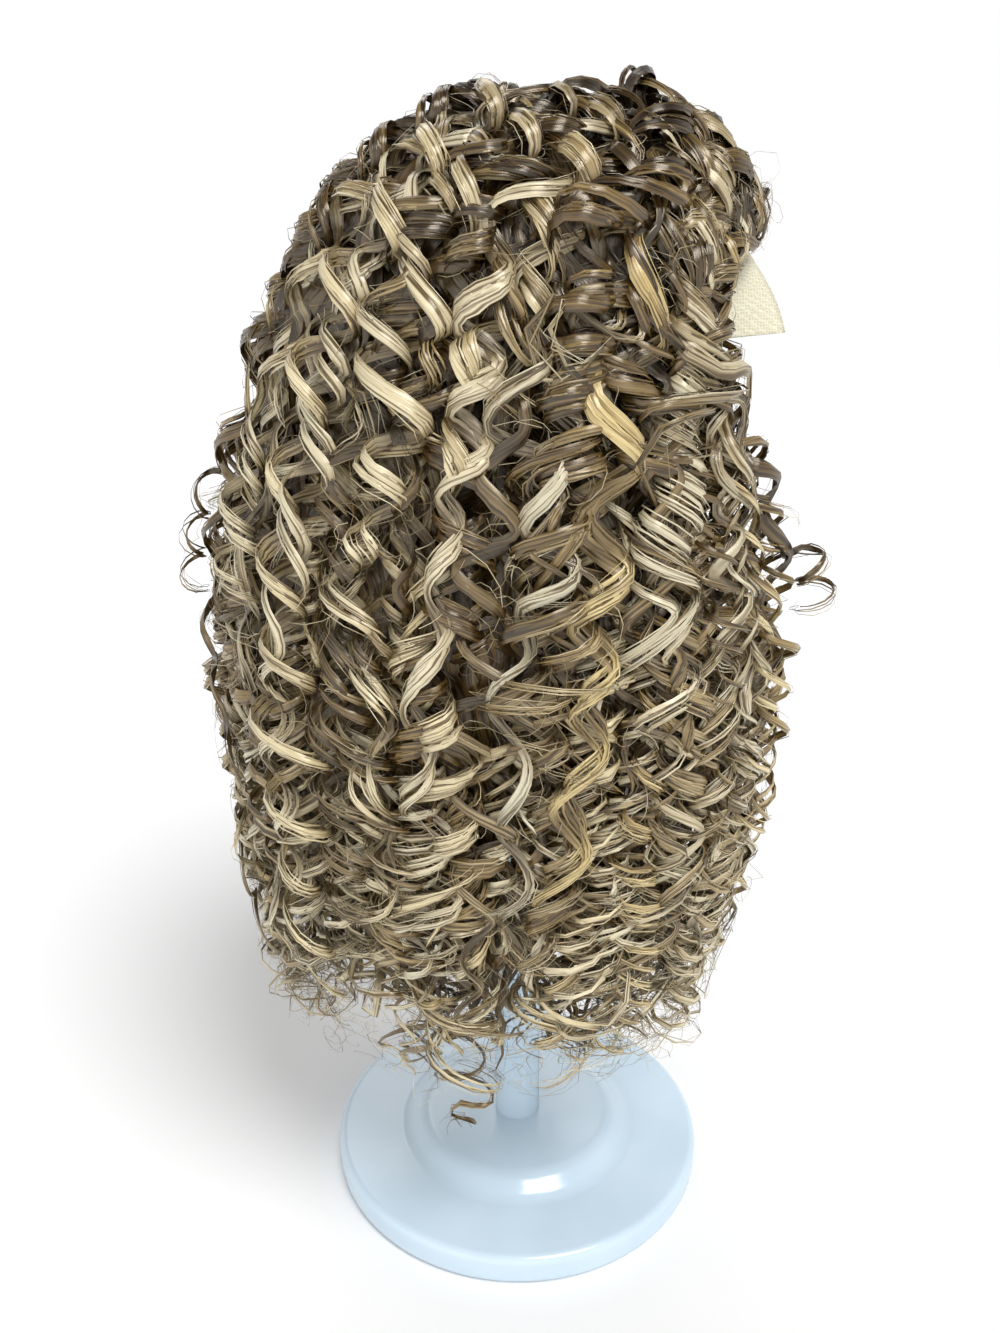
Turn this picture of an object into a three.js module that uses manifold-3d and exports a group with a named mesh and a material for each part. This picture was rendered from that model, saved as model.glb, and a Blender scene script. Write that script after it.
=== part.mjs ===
// A lace front wig of long loose curls, kept on a plain round display stand.
// Millimetres, +Z up. The origin is the middle of the stand's underside.
// The face opening looks along -Y and the wearer's right side is -X.
// A "turn" is an angle about the upright axis: 0 is the front, 90 the wearer's right, 180 the back.
import * as THREE from "three";
import { mergeVertices } from "three/addons/utils/BufferGeometryUtils.js";
import Module from "manifold-3d";

const wasm = await Module();
wasm.setup();

// Stand
const BASE_RADIUS = 90;
const RIM_HEIGHT = 15;
const RIM_ROUND = 4;
const PLATEAU_RISE = 8;
const PLATEAU_TOP_RADIUS = 46;
const PLATEAU_FOOT_RADIUS = 56;
const SOCKET_FLOOR = 8;
const POST_RADIUS = 11;
const POST_BORE_RADIUS = 8.5;
const REST_RADIUS = 50;
const REST_CURVE = 62;
const REST_WALL = 4;
const SEAT_GAP = 0.3;
const REST_GAP = 0.6;
const BASE_SIDES = 40;
const POST_SIDES = 24;

// Wig cap: half an egg, wider below its middle, with its crown leaning towards the face
const CAP_WIDEST_Z = 385;
const CAP_HALF_WIDTH = 76;
const CAP_HALF_LENGTH = 96;
const CAP_RISE = 93;
const CAP_DROP = 120;
const CAP_LEAN = 16;
const CAP_WALL = 1.5;
const LACE_WALL = 1;
const SEAM_GAP = 0.6;
const CAP_COLUMNS = 36;
const CAP_STEPS = 8;

// Hair: locks lie side by side as ridges of one mass, and wave as they fall
const HAIR_GAP = 0.9;
const LOCK_COUNT = 24;
const LOCK_RIDGE = 12;
const LOCK_SWING = 5;
const LOCK_BOB = 4;
const LOCK_PITCH = 78;
const LOCK_STEP = 16;
const LOCK_PHASE = 2.4;
const LOCK_PROFILE = [0, 0.72, 1, 0.72];
const CROWN_ROW = 0.5;
const CROWN_RELIEF = 0.5;
const FULL_RELIEF_ROW = 4;
const VALLEY_END_ROW = 9.55;
const LOCK_END_ROW = 10;
const LOCK_END_SPREAD = 0.28;
const SECTION_GAP = 0.6;
const SECTION_HEIGHT = 600;
const CROWN_Y = 12;
const BACK_SECTION_TURN = 125;
const FACE_HALF_WIDTH = 59;
const FACE_SHOULDER_Z = 418;
const FACE_TOP_Z = 455;
const HOLLOW_TOP_LAT = 86;
const HOLLOW_LOW_LAT = -17;
const HOLLOW_STEPS = 10;

// Lower line of the cap, from the seam of the lace over the forehead, round the ear, to the nape
const CAP_EDGE = [
  { turn: 0, z: 467 },
  { turn: 30, z: 463 },
  { turn: 50, z: 449 },
  { turn: 66, z: 427 },
  { turn: 80, z: 406 },
  { turn: 95, z: 396 },
  { turn: 115, z: 382 },
  { turn: 140, z: 362 },
  { turn: 180, z: 352 },
];

// Lace from the middle of the forehead to the end of the right-hand tab. The seam and the hairline lie
// on the cap, and the bare margin stands free in front of the hairline.
const LACE_ROWS = [
  { seamTurn: 0, hairTurn: 0, hairZ: 452, inward: 0, forward: 7, down: 8 },
  { seamTurn: 30, hairTurn: 27, hairZ: 449, inward: 0, forward: 9, down: 8 },
  { seamTurn: 50, hairTurn: 41, hairZ: 439, inward: 2, forward: 16, down: 7 },
  { seamTurn: 66, hairTurn: 48, hairZ: 423, inward: 5, forward: 26, down: 3 },
  { seamTurn: 80, hairTurn: 51, hairZ: 406, inward: 7, forward: 31, down: -2 },
];

// Outline of the dressed hair from the crown to the ends: its reach to the front, side and back of a
// middle that lies shift in front of or behind the axis
const HAIR_ROWS = [
  { z: 502, shift: -15, front: 0, side: 0, back: 0 },
  { z: 496, shift: -15, front: 34, side: 32, back: 35 },
  { z: 483, shift: -12, front: 60, side: 56, back: 60 },
  { z: 461, shift: -7, front: 84, side: 79, back: 83 },
  { z: 430, shift: -2, front: 97, side: 95, back: 96 },
  { z: 385, shift: 0, front: 107, side: 106, back: 113 },
  { z: 330, shift: 0, front: 121, side: 116, back: 129 },
  { z: 275, shift: 0, front: 126, side: 120, back: 134 },
  { z: 215, shift: 0, front: 118, side: 117, back: 133 },
  { z: 160, shift: 0, front: 106, side: 109, back: 124 },
  { z: 108, shift: 0, front: 92, side: 97, back: 112 },
];

// Space for the neck below the cap, from the nape to past the ends of the hair
const NECK_ROWS = [
  { z: 320, front: 84, side: 70, back: 86 },
  { z: 240, front: 78, side: 76, back: 90 },
  { z: 150, front: 72, side: 74, back: 86 },
  { z: 60, front: 66, side: 68, back: 80 },
];

const { degToRad, lerp, smoothstep } = THREE.MathUtils;

// Solids

function toSolid(geometry) {
  const bare = geometry.clone();
  for (const name of Object.keys(bare.attributes)) {
    if (name !== "position") bare.deleteAttribute(name);
  }
  const merged = mergeVertices(bare, 1e-4);
  return new wasm.Manifold(
    new wasm.Mesh({
      numProp: 3,
      vertProperties: new Float32Array(merged.attributes.position.array),
      triVerts: new Uint32Array(merged.index.array),
    }),
  );
}

function toGeometry(solid) {
  const mesh = solid.getMesh();
  const geometry = new THREE.BufferGeometry();
  geometry.setAttribute("position", new THREE.BufferAttribute(mesh.vertProperties, 3));
  geometry.setIndex(new THREE.BufferAttribute(mesh.triVerts, 1));
  return geometry;
}

function largestBody(solid) {
  return solid.decompose().reduce((a, b) => (b.volume() > a.volume() ? b : a));
}

// A closed skin over rows of points, each row a ring. The first and last rings are closed over with a fan,
// and the faces are turned outwards whichever way the rings run.
function gridSolid(rows) {
  const width = rows[0].length;
  const points = rows.flat();
  const faces = [];
  const at = (row, column) => row * width + (column % width);
  for (let row = 0; row < rows.length - 1; row++) {
    for (let column = 0; column < width; column++) {
      const [a, b] = [at(row, column), at(row, column + 1)];
      const [c, d] = [at(row + 1, column), at(row + 1, column + 1)];
      faces.push([a, b, c], [b, d, c]);
    }
  }
  for (const row of [0, rows.length - 1]) {
    const middle = new THREE.Vector3();
    rows[row].forEach((p) => middle.addScaledVector(p, 1 / width));
    const hub = points.push(middle) - 1;
    for (let column = 0; column < width; column++) {
      const [a, b] = [at(row, column), at(row, column + 1)];
      faces.push(row === 0 ? [hub, b, a] : [hub, a, b]);
    }
  }
  const volume = faces.reduce(
    (sum, [a, b, c]) => sum + points[a].dot(points[b].clone().cross(points[c])),
    0,
  );
  const index = faces.flatMap(([a, b, c]) => (volume > 0 ? [a, b, c] : [a, c, b]));
  const geometry = new THREE.BufferGeometry();
  geometry.setAttribute(
    "position",
    new THREE.Float32BufferAttribute(points.flatMap((p) => p.toArray()), 3),
  );
  geometry.setIndex(index);
  return geometry;
}

// A value between the rows of a table, along an easy curve through them
function between(rows, column, place) {
  const low = Math.min(Math.max(Math.floor(place), 0), rows.length - 2);
  const value = (i) => rows[Math.min(Math.max(i, 0), rows.length - 1)][column];
  const t = place - low;
  const [p0, p1, p2, p3] = [value(low - 1), value(low), value(low + 1), value(low + 2)];
  const slope1 = (p2 - p0) / 2;
  const slope2 = (p3 - p1) / 2;
  const t2 = t * t;
  const t3 = t2 * t;
  return (2 * t3 - 3 * t2 + 1) * p1 + (t3 - 2 * t2 + t) * slope1
    + (3 * t2 - 2 * t3) * p2 + (t3 - t2) * slope2;
}

// Where a value of a rising or falling column lies in its table
function placeOf(rows, column, value) {
  const rising = rows[rows.length - 1][column] > rows[0][column];
  for (let i = 0; i < rows.length - 1; i++) {
    const [a, b] = [rows[i][column], rows[i + 1][column]];
    if (rising ? value <= b : value >= b) return i + (value - a) / (b - a);
  }
  return rows.length - 1;
}

// Stand

function standBase() {
  const plateauZ = RIM_HEIGHT + PLATEAU_RISE;
  const socketRadius = POST_RADIUS + SEAT_GAP;
  const rim = [0, 45, 90].map((angle) => [
    BASE_RADIUS - RIM_ROUND + RIM_ROUND * Math.cos(degToRad(angle)),
    RIM_HEIGHT - RIM_ROUND + RIM_ROUND * Math.sin(degToRad(angle)),
  ]);
  const shoulder = [0, 0.3, 0.7, 1].map((t) => [
    lerp(PLATEAU_FOOT_RADIUS, PLATEAU_TOP_RADIUS, t),
    RIM_HEIGHT + PLATEAU_RISE * smoothstep(t, 0, 1),
  ]);
  const profile = [
    [0, 0],
    [BASE_RADIUS, 0],
    ...rim,
    ...shoulder,
    [socketRadius, plateauZ],
    [socketRadius, SOCKET_FLOOR],
    [0, SOCKET_FLOOR],
  ];
  return new THREE.LatheGeometry(profile.map(([r, z]) => new THREE.Vector2(r, z)), BASE_SIDES);
}

const restDrop = (radius) => REST_CURVE - Math.sqrt(REST_CURVE ** 2 - radius ** 2);

// The rest's top stands just below the lowest stretch of the cap's lining above it.
function restTopZ() {
  let top = Infinity;
  for (let lat = 45; lat <= 90; lat += 1) {
    for (let turn = 0; turn < 360; turn += 10) {
      const p = capPoint(turn, lat, CAP_WALL);
      const radius = Math.hypot(p.x, p.y);
      if (radius < REST_RADIUS) top = Math.min(top, p.z + restDrop(radius));
    }
  }
  return top - REST_GAP;
}

function standPost() {
  const top = restTopZ();
  const underside = top - restDrop(REST_RADIUS) - REST_WALL;
  const curve = [1, 0.8, 0.6, 0.4, 0.2].map((share) => share * REST_RADIUS);
  const profile = [
    [POST_BORE_RADIUS, SOCKET_FLOOR + SEAT_GAP],
    [POST_RADIUS, SOCKET_FLOOR + SEAT_GAP],
    [POST_RADIUS, underside],
    [REST_RADIUS, underside],
    ...curve.map((r) => [r, top - restDrop(r)]),
    [0, top],
    [0, top - REST_WALL],
    [POST_BORE_RADIUS, top - REST_WALL],
    [POST_BORE_RADIUS, SOCKET_FLOOR + SEAT_GAP],
  ];
  return new THREE.LatheGeometry(profile.map(([r, z]) => new THREE.Vector2(r, z)), POST_SIDES);
}

// Cap and lace

// A point of the cap's outside, or inset below it, at a turn and at a height given as a latitude
function capPoint(turn, lat, inset) {
  const [sinLat, cosLat] = [Math.sin(degToRad(lat)), Math.cos(degToRad(lat))];
  const height = sinLat > 0 ? CAP_RISE - inset : CAP_DROP - inset;
  const lean = sinLat > 0 ? CAP_LEAN * sinLat ** 2 : 0;
  return new THREE.Vector3(
    -Math.sin(degToRad(turn)) * (CAP_HALF_WIDTH - inset) * cosLat,
    -Math.cos(degToRad(turn)) * (CAP_HALF_LENGTH - inset) * cosLat - lean,
    CAP_WIDEST_Z + height * sinLat,
  );
}

function latAt(z) {
  const height = z > CAP_WIDEST_Z ? CAP_RISE : CAP_DROP;
  return THREE.MathUtils.radToDeg(Math.asin((z - CAP_WIDEST_Z) / height));
}

function capEdgeZ(turn) {
  const folded = turn > 180 ? 360 - turn : turn;
  return between(CAP_EDGE, "z", placeOf(CAP_EDGE, "turn", folded));
}

function wigCap() {
  const skin = (inset) =>
    Array.from({ length: CAP_STEPS }, (_, i) =>
      Array.from({ length: CAP_COLUMNS }, (_, j) => {
        const turn = (360 * j) / CAP_COLUMNS;
        const low = latAt(capEdgeZ(turn)) + THREE.MathUtils.radToDeg(SEAM_GAP / CAP_RISE);
        return capPoint(turn, lerp(90, low, (i + 1) / CAP_STEPS), inset);
      }),
    );
  return gridSolid([...skin(0), ...skin(CAP_WALL).reverse()]);
}

function laceFront() {
  const endTurn = LACE_ROWS[LACE_ROWS.length - 1].seamTurn;
  const stepTurn = 360 / CAP_COLUMNS;
  const stripe = (signedTurn, inset) => {
    const seamTurn = Math.abs(signedTurn);
    const side = Math.sign(signedTurn) || 1;
    const place = placeOf(LACE_ROWS, "seamTurn", seamTurn);
    const row = (column) => between(LACE_ROWS, column, place);
    const onCap = [0, 0.5, 1].map((t) =>
      capPoint(
        lerp(seamTurn, row("hairTurn"), t),
        latAt(lerp(capEdgeZ(seamTurn), row("hairZ"), t)),
        inset,
      ),
    );
    const free = new THREE.Vector3(row("inward"), -row("forward"), -row("down"));
    const margin = [0.5, 1].map((t) => onCap[2].clone().addScaledVector(free, t));
    return [...onCap, ...margin].map((p) => new THREE.Vector3(side * p.x, p.y, p.z));
  };
  const rings = [];
  for (let turn = -endTurn; turn <= endTurn; turn += stepTurn) {
    rings.push([...stripe(turn, 0), ...stripe(turn, LACE_WALL).reverse()]);
  }
  return gridSolid(rings);
}

// Hair

// The reach of an oval at a turn, from its reach to the front, side and back
function ovalReach(turn, front, side, back) {
  const [across, along] = [Math.sin(degToRad(turn)), Math.cos(degToRad(turn))];
  const length = along > 0 ? front : back;
  if (side <= 0) return 0;
  return 1 / Math.hypot(across / side, along / length);
}

// A point at a depth below the hair's outline, at a turn and a place between the outline's rows
function hairPoint(turn, place, depth) {
  const value = (column, at) => between(HAIR_ROWS, column, at);
  const profile = (at) => new THREE.Vector2(
    ovalReach(turn, value("front", at), value("side", at), value("back", at)),
    value("z", at),
  );
  const step = 0.05;
  const here = profile(Math.max(place, 0));
  const along = profile(place + step).sub(profile(Math.max(place - step, 0))).normalize();
  const outward = new THREE.Vector2(-along.y, along.x);
  here.addScaledVector(outward, -depth);
  return new THREE.Vector3(
    -Math.sin(degToRad(turn)) * Math.max(here.x, 0),
    -Math.cos(degToRad(turn)) * Math.max(here.x, 0) + value("shift", place),
    here.y,
  );
}

// Places down the side of the outline that lie one step of a lock apart
function lockPlaces() {
  const places = [CROWN_ROW];
  const step = 0.01;
  let run = 0;
  for (let place = CROWN_ROW; place < LOCK_END_ROW; place += step) {
    run += hairPoint(90, place, 0).distanceTo(hairPoint(90, place + step, 0));
    if (run < LOCK_STEP) continue;
    places.push(place + step);
    run = 0;
  }
  return places;
}

function hairMass() {
  const across = LOCK_PROFILE.length;
  const places = lockPlaces();
  const rows = places.map((_, i) =>
    Array.from({ length: LOCK_COUNT * across }, (_, j) => {
      const lock = Math.floor(j / across + 0.5);
      const ridge = LOCK_PROFILE[j % across];
      const phase = LOCK_PHASE * (lock % LOCK_COUNT);
      const end = lerp(VALLEY_END_ROW, LOCK_END_ROW + LOCK_END_SPREAD * Math.sin(phase), ridge);
      const place = lerp(CROWN_ROW, end, (places[i] - CROWN_ROW) / (LOCK_END_ROW - CROWN_ROW));
      const loose = smoothstep(place, CROWN_ROW, FULL_RELIEF_ROW);
      const wave = (2 * Math.PI * i * LOCK_STEP) / LOCK_PITCH + phase;
      const turn = (360 * j) / (LOCK_COUNT * across) + LOCK_SWING * loose * Math.sin(wave) * ridge;
      const depth = LOCK_RIDGE * (1 - ridge) + LOCK_BOB * (1 - Math.cos(wave) * ridge);
      return hairPoint(turn, place, lerp(CROWN_RELIEF, 1, loose) * depth);
    }),
  );
  return toSolid(gridSolid(rows));
}

// What the hair goes round: the cap with a little room, and the neck below it
function headHollow() {
  const turns = Array.from({ length: CAP_COLUMNS }, (_, j) => (360 * j) / CAP_COLUMNS);
  const cap = Array.from({ length: HOLLOW_STEPS + 1 }, (_, i) => {
    const lat = lerp(HOLLOW_TOP_LAT, HOLLOW_LOW_LAT, i / HOLLOW_STEPS);
    return turns.map((turn) => capPoint(turn, lat, -HAIR_GAP));
  });
  const neck = NECK_ROWS.map(({ z, front, side, back }) =>
    turns.map((turn) => {
      const reach = ovalReach(turn, front, side, back);
      return new THREE.Vector3(
        -Math.sin(degToRad(turn)) * reach,
        -Math.cos(degToRad(turn)) * reach,
        z,
      );
    }),
  );
  return toSolid(gridSolid([...cap, ...neck]));
}

// The gap between the two curtains of hair, with a round top that follows the hairline
function faceOpening() {
  const arch = new THREE.Shape();
  arch.moveTo(-FACE_HALF_WIDTH, 0);
  arch.lineTo(FACE_HALF_WIDTH, 0);
  arch.lineTo(FACE_HALF_WIDTH, FACE_SHOULDER_Z);
  arch.absellipse(
    0, FACE_SHOULDER_Z, FACE_HALF_WIDTH, FACE_TOP_Z - FACE_SHOULDER_Z, 0, Math.PI, false, 0,
  );
  const depth = 2 * CAP_HALF_LENGTH;
  const prism = new THREE.ExtrudeGeometry(arch, { depth, bevelEnabled: false, curveSegments: 10 });
  prism.rotateX(Math.PI / 2);
  prism.translate(0, -CAP_HALF_WIDTH / 2, 0);
  return toSolid(prism);
}

// An upright wedge between two turns about the crown, kept half a gap back from both of its walls
function sectionWedge(fromTurn, toTurn) {
  const reach = 4 * CAP_HALF_LENGTH;
  const ray = (turn) => new THREE.Vector2(-Math.sin(degToRad(turn)), -Math.cos(degToRad(turn)));
  const middle = ray((fromTurn + toTurn) / 2);
  const half = degToRad((toTurn - fromTurn) / 2);
  const corner = new THREE.Vector2(0, CROWN_Y).addScaledVector(middle, SECTION_GAP / 2 / Math.sin(half));
  const outline = new THREE.Shape([
    corner,
    corner.clone().addScaledVector(ray(fromTurn), reach),
    corner.clone().addScaledVector(middle, 2 * reach),
    corner.clone().addScaledVector(ray(toTurn), reach),
  ]);
  return toSolid(new THREE.ExtrudeGeometry(outline, { depth: SECTION_HEIGHT, bevelEnabled: false }));
}

function hairSection(whole, fromTurn, toTurn) {
  return toGeometry(largestBody(whole.intersect(sectionWedge(fromTurn, toTurn))));
}

// Assembly

const wig = new THREE.Group();
wig.name = "lace_front_wig_on_stand";

function addPiece(name, geometry, colour, roughness) {
  const material = new THREE.MeshStandardMaterial({ color: colour, roughness, metalness: 0 });
  const mesh = new THREE.Mesh(geometry, material);
  mesh.name = name;
  wig.add(mesh);
}

const upright = (geometry) => geometry.rotateX(Math.PI / 2);

addPiece("stand_base", upright(standBase()), 0xd3e2ee, 0.18);
addPiece("stand_post", upright(standPost()), 0xd3e2ee, 0.18);
addPiece("wig_cap", wigCap(), 0x4a3d2c, 0.85);
addPiece("lace_front", laceFront(), 0xf2eed8, 0.8);

const hair = hairMass().subtract(headHollow()).subtract(faceOpening());

addPiece("hair_right", hairSection(hair, 0, BACK_SECTION_TURN), 0x8a7658, 0.45);
addPiece("hair_left", hairSection(hair, -BACK_SECTION_TURN, 0), 0x8a7658, 0.45);
addPiece("hair_back", hairSection(hair, BACK_SECTION_TURN, 360 - BACK_SECTION_TURN), 0x7c6a4e, 0.45);

export default wig;
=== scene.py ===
# %% [markdown]
# # A curly lace front wig on its stand
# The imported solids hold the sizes. This lesson dresses them: a glossy moulded stand, a knitted cap,
# a fine lace front, and the curls themselves, which are thousands of strands wound in ringlets.
# Every piece stays in the frame of the solids, in metres, with its place in its mesh.

# %% Load the frame
import math

import bpy
import numpy as np
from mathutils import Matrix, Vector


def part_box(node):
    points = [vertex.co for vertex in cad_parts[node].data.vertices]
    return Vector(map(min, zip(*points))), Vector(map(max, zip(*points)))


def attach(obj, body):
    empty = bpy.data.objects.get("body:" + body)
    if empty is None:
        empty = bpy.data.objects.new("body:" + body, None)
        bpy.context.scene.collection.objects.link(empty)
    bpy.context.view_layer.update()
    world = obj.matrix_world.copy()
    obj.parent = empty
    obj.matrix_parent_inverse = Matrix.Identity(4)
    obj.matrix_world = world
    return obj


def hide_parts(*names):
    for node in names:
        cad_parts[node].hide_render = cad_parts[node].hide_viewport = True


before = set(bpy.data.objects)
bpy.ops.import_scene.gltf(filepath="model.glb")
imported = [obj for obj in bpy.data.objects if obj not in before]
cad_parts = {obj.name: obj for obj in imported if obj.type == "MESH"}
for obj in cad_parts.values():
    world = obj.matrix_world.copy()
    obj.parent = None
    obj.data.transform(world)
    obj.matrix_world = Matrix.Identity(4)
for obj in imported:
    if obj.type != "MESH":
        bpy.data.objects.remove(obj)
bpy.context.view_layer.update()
bpy.ops.object.select_all(action="DESELECT")
MM = 0.001
BODY = "root"
print("nodes:", sorted(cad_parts))

# %% [markdown]
# ## Camera
# The wig is seen from its right side, a little from above, from about half a metre away.
# The lens is that of a phone: the long side of the picture takes in about 58 degrees.

# %% Camera
PICTURE_HEIGHT = 1333
FOCAL_PIXELS = 1200
SENSOR_MM = 36
CAMERA_TURN = math.radians(-95)
CAMERA_AWAY_MM = 490
CAMERA_HEIGHT_MM = 452
CAMERA_PITCH = math.radians(21.2)
CAMERA_YAW = math.radians(1.02)

bpy.ops.object.camera_add()
camera = bpy.context.object
camera.name = "camera"
camera.data.sensor_width = SENSOR_MM
camera.data.lens = SENSOR_MM * FOCAL_PIXELS / PICTURE_HEIGHT
camera.location = (
    CAMERA_AWAY_MM * MM * math.sin(CAMERA_TURN),
    -CAMERA_AWAY_MM * MM * math.cos(CAMERA_TURN),
    CAMERA_HEIGHT_MM * MM,
)
camera.rotation_euler = (math.pi / 2 - CAMERA_PITCH, 0, CAMERA_TURN + CAMERA_YAW)
camera.data.clip_start = 0.01
bpy.context.scene.camera = camera
bpy.context.scene.view_settings.view_transform = "Standard"
print("camera at", [round(x, 3) for x in camera.location])

# %% [markdown]
# ## Helpers for materials
# A colour is written as it looks on screen, as an sRGB hex value, and turned to linear light once.
# One function adds a node, sets it and links it, so each material reads as a short list.

# %% Helpers for materials


def linear(hex_colour):
    channels = [int(hex_colour[i:i + 2], 16) / 255 for i in (1, 3, 5)]
    lin = [c / 12.92 if c <= 0.04045 else ((c + 0.055) / 1.055) ** 2.4 for c in channels]
    return (*lin, 1.0)


def set_inputs(tree, node, inputs):
    for socket, value in inputs.items():
        if isinstance(value, bpy.types.NodeSocket):
            tree.links.new(value, node.inputs[socket])
        else:
            node.inputs[socket].default_value = value


def add_node(tree, kind, settings=None, inputs=None):
    node = tree.nodes.new(kind)
    for name, value in (settings or {}).items():
        setattr(node, name, value)
    set_inputs(tree, node, inputs or {})
    return node


def new_material(name):
    material = bpy.data.materials.new(name)
    material.use_nodes = True
    tree = material.node_tree
    return material, tree, tree.nodes["Principled BSDF"]


def set_ramp(ramp_node, stops):
    ramp = ramp_node.color_ramp
    while len(ramp.elements) < len(stops):
        ramp.elements.new(0.5)
    for element, (place, hex_colour) in zip(ramp.elements, stops):
        element.position = place
        element.color = linear(hex_colour)


print("mid grey on screen is", round(linear("#808080")[0], 3), "in linear light")

# %% [markdown]
# ## Moulded white plastic
# The stand is injection-moulded ABS: a smooth glossy skin with a cool white colour.
# Its faint orange peel, a few millimetres across, breaks the reflections a little, and its white
# clouds very slightly over several centimetres.

# %% Moulded white plastic
ORANGE_PEEL_MM = 6.0
CLOUD_MM = 1000 / 22


def moulded_abs():
    material, tree, shader = new_material("moulded_white_abs")
    coords = add_node(tree, "ShaderNodeTexCoord").outputs["Object"]
    peel, cloud = (
        add_node(
            tree, "ShaderNodeTexNoise",
            inputs={"Vector": coords, "Scale": 1 / (size_mm * MM), "Detail": detail},
        ).outputs["Fac"]
        for size_mm, detail in ((ORANGE_PEEL_MM, 2.0), (CLOUD_MM, 3.0))
    )
    tint = add_node(tree, "ShaderNodeValToRGB", inputs={"Fac": cloud})
    set_ramp(tint, [(0.3, "#c0d3e1"), (0.7, "#c9dbe8")])
    bump = add_node(
        tree, "ShaderNodeBump", inputs={"Height": peel, "Strength": 0.06, "Distance": 0.4 * MM},
    )
    set_inputs(tree, shader, {
        "Base Color": tint.outputs["Color"], "Normal": bump.outputs["Normal"],
        "Roughness": 0.16, "IOR": 1.52,
    })
    return material


plastic = moulded_abs()
print("made", plastic.name)

# %% [markdown]
# ## Helpers for pieces
# Operators act on whatever is selected, so each piece starts from nothing selected.
# A finished piece has its place applied to its mesh, rides on the one body and takes its material.

# %% Helpers for pieces
LOOKS_UP = 0.9


def start_piece(name):
    piece = bpy.context.object
    piece.name = name
    piece.data.name = name
    return piece


def edit_top(piece):
    """Edit mode, with only the faces that look up selected."""
    bpy.context.view_layer.objects.active = piece
    bpy.ops.object.mode_set(mode="EDIT")
    bpy.ops.mesh.select_mode(type="FACE")
    bpy.ops.mesh.select_all(action="DESELECT")
    bpy.ops.object.mode_set(mode="OBJECT")
    for polygon in piece.data.polygons:
        polygon.select = polygon.normal.z > LOOKS_UP
    bpy.ops.object.mode_set(mode="EDIT")


def finish_piece(piece, material, slot, *nodes):
    bpy.ops.object.select_all(action="DESELECT")
    piece.select_set(True)
    bpy.context.view_layer.objects.active = piece
    bpy.ops.object.transform_apply(location=True, rotation=True, scale=True)
    piece.data.materials.clear()
    piece.data.materials.append(material)
    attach(piece, BODY)
    if nodes:
        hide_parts(*nodes)
    piece.select_set(False)
    print(piece.name, len(piece.data.polygons), "faces")


def apply_modifier(piece, kind, **settings):
    modifier = piece.modifiers.new(kind.lower(), kind)
    for name, value in settings.items():
        setattr(modifier, name, value)
    bpy.context.view_layer.objects.active = piece
    bpy.ops.object.modifier_apply(modifier=modifier.name)


print("pieces ride on", BODY)

# %% [markdown]
# ## Stand base
# A round foot with a soft rim and a raised middle. A disc is added at its size, its top face is inset
# and lifted to make the raised middle, and the edges are rounded with a bevel. A profile could be spun
# as well, but an inset needs no drawing. The solid's box gives the radius and the height of the middle.

# %% Stand base
RIM_HEIGHT_MM = 15
PLATEAU_FOOT_MM = 56
PLATEAU_TOP_MM = 47
ROUND_SIDES = 128
BASE_ROUND_MM = 4

base_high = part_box("stand_base")[1]
base_radius = base_high[0]
bpy.ops.mesh.primitive_cylinder_add(
    vertices=ROUND_SIDES, radius=base_radius, depth=RIM_HEIGHT_MM * MM,
    location=(0, 0, RIM_HEIGHT_MM * MM / 2),
)
base = start_piece("base_moulding")
edit_top(base)
bpy.ops.mesh.inset(thickness=base_radius - PLATEAU_FOOT_MM * MM)
rise = base_high[2] - RIM_HEIGHT_MM * MM
bpy.ops.mesh.extrude_region_move(TRANSFORM_OT_translate={"value": (0, 0, rise)})
shrink = PLATEAU_TOP_MM / PLATEAU_FOOT_MM
bpy.ops.transform.resize(value=(shrink, shrink, 1), center_override=(0, 0, base_high[2]))
bpy.ops.object.mode_set(mode="OBJECT")
apply_modifier(
    base, "BEVEL", width=BASE_ROUND_MM * MM, segments=6, limit_method="ANGLE",
    angle_limit=math.radians(20), use_clamp_overlap=True,
)
bpy.ops.object.shade_smooth_by_angle(angle=math.radians(40))
finish_piece(base, plastic, "stand_plastic", "stand_base")

# %% [markdown]
# ## Stand post
# A slim tube that ends in a shallow dome under the cap. A cylinder is cut to the post's size, and its
# top is extruded and scaled ring by ring to follow the dome.

# %% Stand post
POST_RADIUS_MM = 11
REST_RADIUS_MM = 50
REST_CURVE_MM = 62
REST_WALL_MM = 4
REST_ROUND_MM = 1.2
DOME_STEPS = 8
POST_SIDES = 64


def dome_drop(radius_mm):
    return REST_CURVE_MM - math.sqrt(REST_CURVE_MM ** 2 - radius_mm ** 2)


post_low, post_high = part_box("stand_post")
post_top = post_high[2]
underside = post_top - (dome_drop(REST_RADIUS_MM) + REST_WALL_MM) * MM
post_height = underside - post_low[2]
bpy.ops.mesh.primitive_cylinder_add(
    vertices=POST_SIDES, radius=POST_RADIUS_MM * MM, depth=post_height,
    location=(0, 0, post_low[2] + post_height / 2),
)
post = start_piece("post_tube")
edit_top(post)


def extrude_ring(radius_mm, from_mm, z, to_z):
    bpy.ops.mesh.extrude_region_move(TRANSFORM_OT_translate={"value": (0, 0, to_z - z)})
    ratio = radius_mm / from_mm
    bpy.ops.transform.resize(value=(ratio, ratio, 1), center_override=(0, 0, to_z))


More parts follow.
